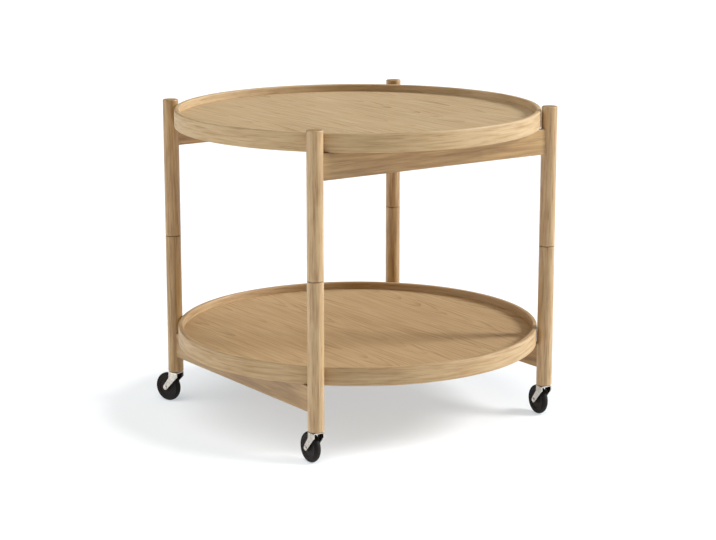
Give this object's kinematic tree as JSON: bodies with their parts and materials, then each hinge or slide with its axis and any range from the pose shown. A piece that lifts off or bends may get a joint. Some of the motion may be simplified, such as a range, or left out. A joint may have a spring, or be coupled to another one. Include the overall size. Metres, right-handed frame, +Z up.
{
  "type": "tray table",
  "caption": "Round tiered tray table on swivel casters: lift-out trays with raised rims rest on rails between the round legs of a folding wooden frame.",
  "frame": {"origin": "on the floor under the middle of the table", "axes": "+Z up; +X along the upper rails, from the front leg to the right leg; +Y along the lower rails, from the front leg to the left leg"},
  "size_m": [0.65, 0.65, 0.5645],
  "materials": {
    "oak_rail": "oiled, lengthwise grain",
    "oak_leg": "oiled, turned dowel",
    "oak_rim": "oiled, bent lamination",
    "oak_panel": "oiled veneer, crown-cut figure",
    "pivot_steel": "turned",
    "pivot_brass": "turned",
    "caster_steel": "zinc plated",
    "caster_nickel": "polished nickel plate",
    "wheel_plastic": "matt moulded",
    "wheel_rubber": "satin"
  },
  "bodies": {
    "lower_left_frame": {"lower_rail_left": "oak_rail", "lower_leg_front": "oak_leg", "pivot_pin_front": "pivot_steel", "pivot_washer_front": "pivot_brass", "caster_socket_front": "caster_steel", "lower_leg_left": "oak_leg", "pivot_pin_left": "pivot_steel", "pivot_washer_left": "pivot_brass", "caster_socket_left": "caster_steel"},
    "lower_right_frame": {"lower_rail_right": "oak_rail", "lower_leg_right": "oak_leg", "pivot_pin_right": "pivot_steel", "pivot_washer_right": "pivot_brass", "caster_socket_right": "caster_steel", "lower_leg_back": "oak_leg", "pivot_pin_back": "pivot_steel", "pivot_washer_back": "pivot_brass", "caster_socket_back": "caster_steel"},
    "upper_front_frame": {"upper_rail_front": "oak_rail", "upper_leg_front": "oak_leg", "pivot_bush_front": "pivot_brass", "upper_leg_right": "oak_leg", "pivot_bush_right": "pivot_brass"},
    "upper_back_frame": {"upper_rail_back": "oak_rail", "upper_leg_left": "oak_leg", "pivot_bush_left": "pivot_brass", "upper_leg_back": "oak_leg", "pivot_bush_back": "pivot_brass"},
    "upper_tray": {"upper_tray_rim": "oak_rim", "upper_tray_panel": "oak_panel"},
    "lower_tray": {"lower_tray_rim": "oak_rim", "lower_tray_panel": "oak_panel"},
    "swivel_front": {"caster_stem_front": "caster_steel", "caster_washer_front": "caster_steel", "caster_fork_front": "caster_nickel", "caster_axle_front": "caster_steel"},
    "wheel_front": {"wheel_hub_front": "wheel_plastic", "wheel_tyre_front": "wheel_rubber"},
    "swivel_right": {"caster_stem_right": "caster_steel", "caster_washer_right": "caster_steel", "caster_fork_right": "caster_nickel", "caster_axle_right": "caster_steel"},
    "wheel_right": {"wheel_hub_right": "wheel_plastic", "wheel_tyre_right": "wheel_rubber"},
    "swivel_back": {"caster_stem_back": "caster_steel", "caster_washer_back": "caster_steel", "caster_fork_back": "caster_nickel", "caster_axle_back": "caster_steel"},
    "wheel_back": {"wheel_hub_back": "wheel_plastic", "wheel_tyre_back": "wheel_rubber"},
    "swivel_left": {"caster_stem_left": "caster_steel", "caster_washer_left": "caster_steel", "caster_fork_left": "caster_nickel", "caster_axle_left": "caster_steel"},
    "wheel_left": {"wheel_hub_left": "wheel_plastic", "wheel_tyre_left": "wheel_rubber"}
  },
  "joints": [
    {"name": "frame_fold", "type": "hinge", "parent": "lower_left_frame", "child": "upper_front_frame", "pos_m": [-0.24837, -0.23161, 0.315], "axis": [0, 0, 1], "range_deg": [-0.08, 0.08]},
    {"name": "back_fold", "type": "hinge", "parent": "lower_left_frame", "child": "upper_back_frame", "pos_m": [-0.24837, 0.23161, 0.315], "axis": [0, 0, 1], "range_deg": [-0.08, 0.08]},
    {"name": "right_fold", "type": "hinge", "parent": "upper_front_frame", "child": "lower_right_frame", "pos_m": [0.24837, -0.23161, 0.315], "axis": [0, 0, 1], "range_deg": [-0.08, 0.08]},
    {"name": "upper_tray_lift", "type": "slide", "parent": "upper_front_frame", "child": "upper_tray", "axis": [0, 0, 1], "range_m": [0, 0.3]},
    {"name": "lower_tray_lift", "type": "slide", "parent": "lower_left_frame", "child": "lower_tray", "axis": [0, 0, 1], "range_m": [0, 0.3]},
    {"name": "caster_swivel_front", "type": "hinge", "parent": "lower_left_frame", "child": "swivel_front", "pos_m": [-0.24837, -0.23161, 0.0745], "axis": [0, 0, 1], "continuous": true},
    {"name": "wheel_spin_front", "type": "hinge", "parent": "swivel_front", "child": "wheel_front", "pos_m": [-0.24708, -0.21315, 0.0265], "axis": [-0.9976, 0.0698, 0], "continuous": true},
    {"name": "caster_swivel_right", "type": "hinge", "parent": "lower_right_frame", "child": "swivel_right", "pos_m": [0.24837, -0.23161, 0.0745], "axis": [0, 0, 1], "continuous": true},
    {"name": "wheel_spin_right", "type": "hinge", "parent": "swivel_right", "child": "wheel_right", "pos_m": [0.25126, -0.21333, 0.0265], "axis": [-0.9877, 0.1564, 0], "continuous": true},
    {"name": "caster_swivel_back", "type": "hinge", "parent": "lower_right_frame", "child": "swivel_back", "pos_m": [0.24837, 0.23161, 0.0745], "axis": [0, 0, 1], "continuous": true},
    {"name": "wheel_spin_back", "type": "hinge", "parent": "swivel_back", "child": "wheel_back", "pos_m": [0.24358, 0.24948, 0.0265], "axis": [-0.9659, -0.2588, 0], "continuous": true},
    {"name": "caster_swivel_left", "type": "hinge", "parent": "lower_left_frame", "child": "swivel_left", "pos_m": [-0.24837, 0.23161, 0.0745], "axis": [0, 0, 1], "continuous": true},
    {"name": "wheel_spin_left", "type": "hinge", "parent": "swivel_left", "child": "wheel_left", "pos_m": [-0.2547, 0.24899, 0.0265], "axis": [-0.9397, -0.342, 0], "continuous": true}
  ],
  "couplings": [
    {"joint": "back_fold", "follows": "frame_fold", "ratio": 1},
    {"joint": "right_fold", "follows": "frame_fold", "ratio": -1}
  ]
}
